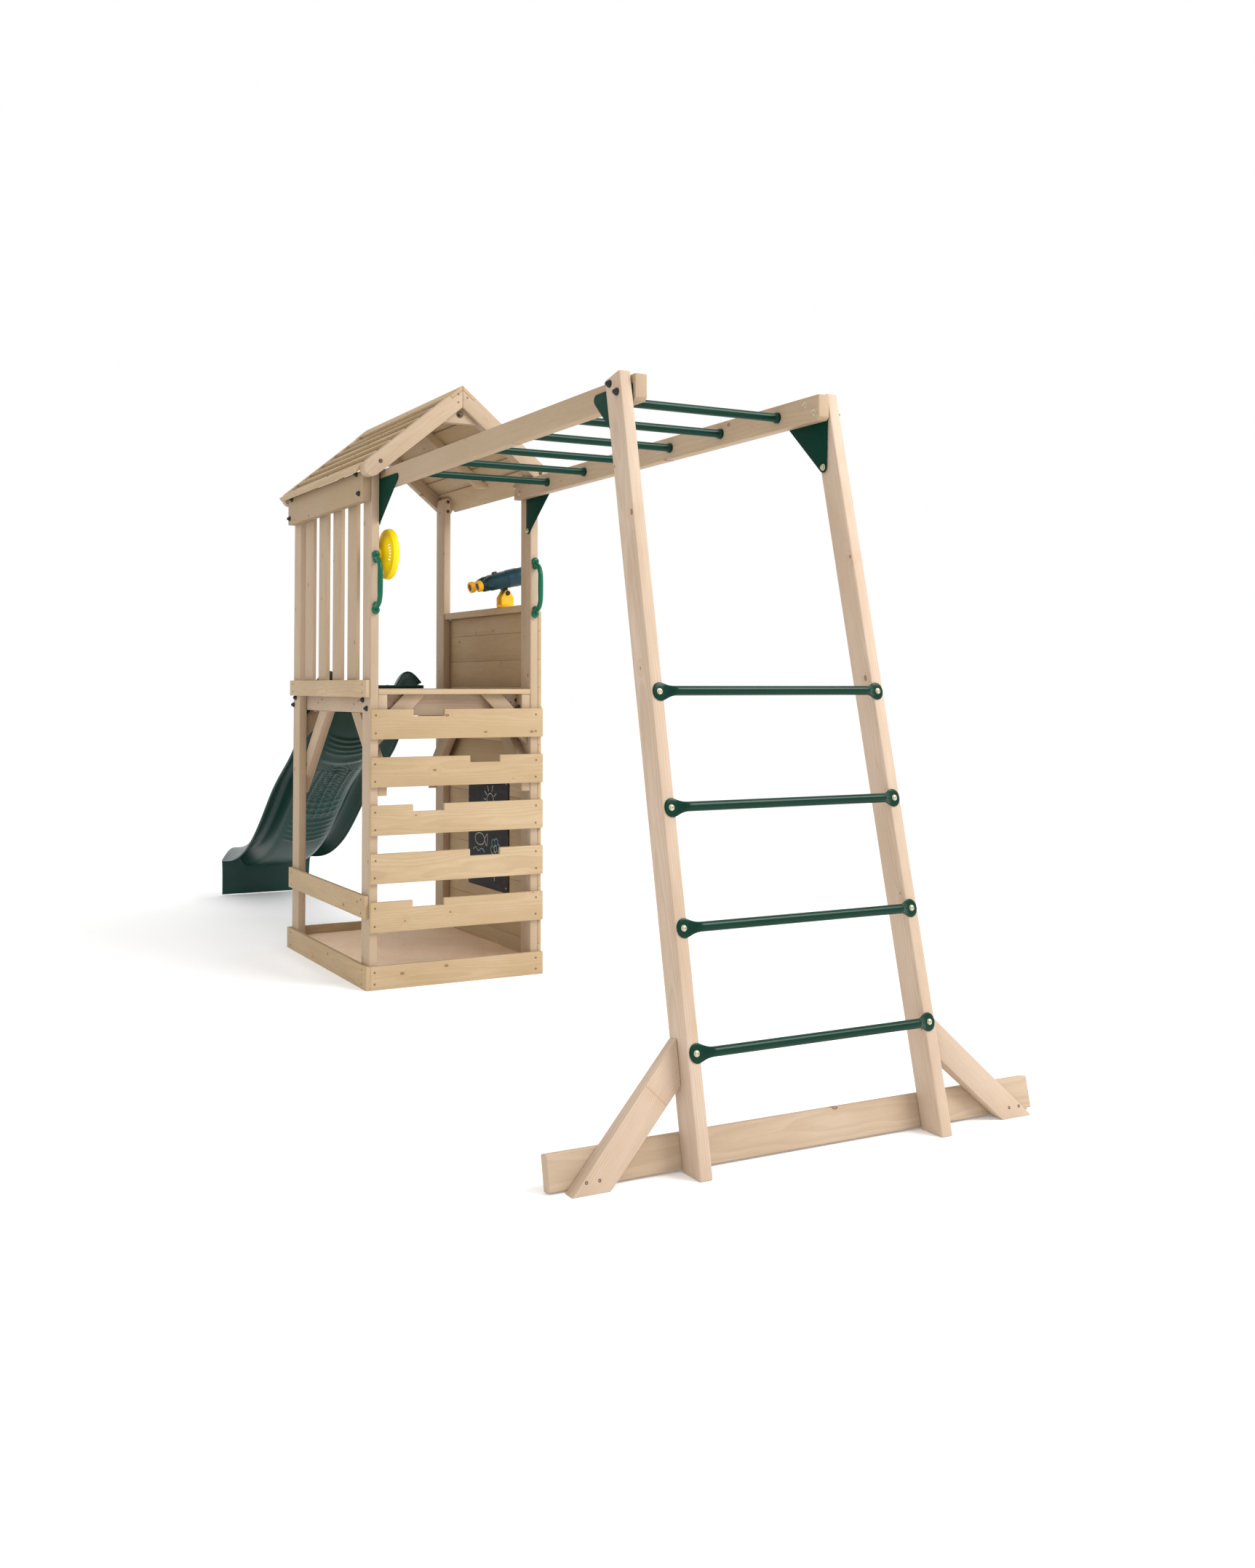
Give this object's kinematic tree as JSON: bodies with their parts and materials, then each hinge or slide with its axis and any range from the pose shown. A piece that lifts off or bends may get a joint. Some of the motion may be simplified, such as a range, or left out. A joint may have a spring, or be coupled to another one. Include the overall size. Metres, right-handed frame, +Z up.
{
  "type": "monkey bars with play tower",
  "caption": "Timber play tower with a pitched slatted roof, wavy slide, climbing planks and sandpit, joined to overhead monkey bars on a leaning ladder.",
  "frame": {"origin": "middle of the bounding box's bottom face, on the ground", "axes": "+X runs from the slide, through the tower, out along the monkey bars; +Y is to the right when facing the ladder from its far end; +Z up"},
  "size_m": [5.2846, 1.55, 2.4498],
  "materials": {
    "timber": "planed, unpainted, weathered",
    "board": "planed, unpainted",
    "green_steel": "powder coated, semi-gloss",
    "green_plastic": "moulded, satin",
    "yellow_plastic": "moulded",
    "dark_plastic": "moulded, satin",
    "chalk_surface": "matt writing surface",
    "sand": "rough, granular"
  },
  "bodies": {
    "frame": {"post_front_left": "timber", "post_front_right": "timber", "post_back_left": "timber", "post_back_right": "timber", "sandpit_board_left": "board", "sandpit_board_front": "board", "sandpit_board_back": "board", "sand_bed": "sand", "low_board_left": "board", "deck_board_left": "board", "climb_plank_1": "board", "climb_plank_2": "board", "climb_plank_3": "board", "climb_plank_4": "board", "climb_plank_5": "board", "deck_floor": "board", "deck_frame_left": "timber", "deck_frame_right": "timber", "deck_frame_front": "timber", "deck_frame_back": "timber", "wall_slat_1": "timber", "wall_slat_2": "timber", "wall_slat_3": "timber", "wall_slat_4": "timber", "top_beam_left": "timber", "cladding_right": "board", "chalkboard": "chalk_surface", "roof_frame_front": "timber", "roof_frame_back": "timber", "roof_slope_left": "board", "roof_slope_right": "board", "roof_ridge_cap": "board", "rail_left": "timber", "rail_right": "timber", "overhead_rung_1": "green_steel", "overhead_rung_2": "green_steel", "overhead_rung_3": "green_steel", "overhead_rung_4": "green_steel", "overhead_rung_5": "green_steel", "overhead_rung_6": "green_steel", "leg_left": "timber", "leg_right": "timber", "ladder_rung_1": "green_steel", "ladder_rung_2": "green_steel", "ladder_rung_3": "green_steel", "ladder_rung_4": "green_steel", "bracket_tower_left": "green_steel", "bracket_tower_right": "green_steel", "bracket_ladder_left": "green_steel", "bracket_ladder_right": "green_steel", "base_plank": "timber", "base_brace_left": "timber", "base_brace_right": "timber", "slide": "green_plastic", "grab_handle_left": "green_plastic", "grab_handle_right": "green_plastic"},
    "wheel": {"steering_wheel": "yellow_plastic"},
    "scope_mount": {"binocular_mount": "yellow_plastic"},
    "scope": {"binoculars": "dark_plastic"}
  },
  "joints": [
    {"name": "wheel_spin", "type": "hinge", "parent": "frame", "child": "wheel", "pos_m": [0.1302, -0.3397, 1.748], "axis": [0, 1, 0], "continuous": true},
    {"name": "scope_swivel", "type": "hinge", "parent": "frame", "child": "scope_mount", "pos_m": [-0.1523, 0.375, 1.5603], "axis": [0, 0, 1], "continuous": true},
    {"name": "scope_tilt", "type": "hinge", "parent": "scope_mount", "child": "scope", "pos_m": [-0.1523, 0.375, 1.623], "axis": [1, 0, 0], "range_deg": [-25, 20]}
  ]
}
